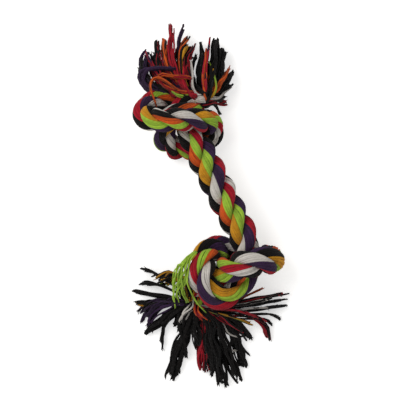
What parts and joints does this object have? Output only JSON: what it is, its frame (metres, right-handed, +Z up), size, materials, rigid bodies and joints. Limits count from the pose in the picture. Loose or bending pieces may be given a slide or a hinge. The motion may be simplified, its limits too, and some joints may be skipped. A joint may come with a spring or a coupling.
{
  "type": "rope dog toy",
  "caption": "Tug toy for dogs: one three-strand cotton rope with an overhand knot and a frayed yarn tassel at each end.",
  "frame": {"origin": "middle of the toy's outline, on the surface that it lies on", "axes": "+Y from the lower tassel towards the upper tassel, as the toy was laid down; +X to the right seen from above; +Z up"},
  "size_m": [0.092, 0.2232, 0.0446],
  "materials": {
    "cotton_black": "soft twisted cotton yarn, matt",
    "cotton_orange": "soft twisted cotton yarn, matt",
    "cotton_lime": "soft twisted cotton yarn, matt",
    "cotton_red": "soft twisted cotton yarn, matt",
    "cotton_amber": "soft twisted cotton yarn, matt",
    "cotton_purple": "soft twisted cotton yarn, matt",
    "cotton_white": "soft twisted cotton yarn, matt"
  },
  "bodies": {
    "lower_knot": {"lower_knot_strand_1": "cotton_white", "lower_knot_strand_2": "cotton_orange", "lower_knot_strand_3": "cotton_lime", "lower_tassel_lime_drape": "cotton_lime"},
    "lower_tassel": {"lower_tassel_amber_1": "cotton_amber", "lower_tassel_black_1": "cotton_black", "lower_tassel_black_2": "cotton_black", "lower_tassel_black_3": "cotton_black", "lower_tassel_lime_1": "cotton_lime", "lower_tassel_lime_2": "cotton_lime", "lower_tassel_orange_1": "cotton_orange", "lower_tassel_purple_1": "cotton_purple", "lower_tassel_purple_2": "cotton_purple", "lower_tassel_red_1": "cotton_red", "lower_tassel_red_2": "cotton_red", "lower_tassel_white_1": "cotton_white"},
    "lower_rope": {"lower_rope_strand_1": "cotton_white", "lower_rope_strand_2": "cotton_orange", "lower_rope_strand_3": "cotton_lime"},
    "upper_rope": {"upper_rope_strand_1": "cotton_white", "upper_rope_strand_2": "cotton_orange", "upper_rope_strand_3": "cotton_lime"},
    "upper_knot": {"upper_knot_strand_1": "cotton_white", "upper_knot_strand_2": "cotton_orange", "upper_knot_strand_3": "cotton_lime"},
    "upper_tassel": {"upper_tassel_amber_1": "cotton_amber", "upper_tassel_black_1": "cotton_black", "upper_tassel_black_2": "cotton_black", "upper_tassel_black_3": "cotton_black", "upper_tassel_lime_1": "cotton_lime", "upper_tassel_lime_2": "cotton_lime", "upper_tassel_orange_1": "cotton_orange", "upper_tassel_purple_1": "cotton_purple", "upper_tassel_purple_2": "cotton_purple", "upper_tassel_red_1": "cotton_red", "upper_tassel_red_2": "cotton_red", "upper_tassel_white_1": "cotton_white"}
  },
  "joints": [
    {"name": "rope_bend", "type": "hinge", "parent": "lower_knot", "child": "lower_rope", "pos_m": [0.01616, -0.01098, 0.02569], "axis": [0, 0, 1], "range_deg": [-45, 45], "deforming": ["lower_rope_strand_1", "lower_rope_strand_2", "lower_rope_strand_3"]},
    {"name": "rope_twist", "type": "hinge", "parent": "lower_rope", "child": "upper_rope", "pos_m": [0.00605, 0.00886, 0.02475], "axis": [-0.4536, 0.8902, -0.0424], "range_deg": [-60, 60], "deforming": ["upper_rope_strand_1", "upper_rope_strand_2", "upper_rope_strand_3"]},
    {"name": "rope_lift", "type": "hinge", "parent": "upper_rope", "child": "upper_knot", "pos_m": [-0.00405, 0.02869, 0.0238], "axis": [0.891, 0.454, 0], "range_deg": [-45, 45], "deforming": ["upper_rope_strand_1", "upper_rope_strand_2", "upper_rope_strand_3"]},
    {"name": "lower_tassel_swing", "type": "hinge", "parent": "lower_knot", "child": "lower_tassel", "pos_m": [-0.00975, -0.06052, 0.00558], "axis": [-1, 0, 0], "range_deg": [-30, 60], "deforming": ["lower_tassel_amber_1", "lower_tassel_black_1", "lower_tassel_black_2", "lower_tassel_black_3", "lower_tassel_lime_1", "lower_tassel_lime_2", "lower_tassel_orange_1", "lower_tassel_purple_1", "lower_tassel_purple_2", "lower_tassel_red_1", "lower_tassel_red_2", "lower_tassel_white_1"]},
    {"name": "upper_tassel_swing", "type": "hinge", "parent": "upper_knot", "child": "upper_tassel", "pos_m": [-0.00479, 0.06239, 0.018], "axis": [1, 0, 0], "range_deg": [-30, 60], "deforming": ["upper_tassel_amber_1", "upper_tassel_black_1", "upper_tassel_black_2", "upper_tassel_black_3", "upper_tassel_lime_1", "upper_tassel_lime_2", "upper_tassel_orange_1", "upper_tassel_purple_1", "upper_tassel_purple_2", "upper_tassel_red_1", "upper_tassel_red_2", "upper_tassel_white_1"]}
  ]
}
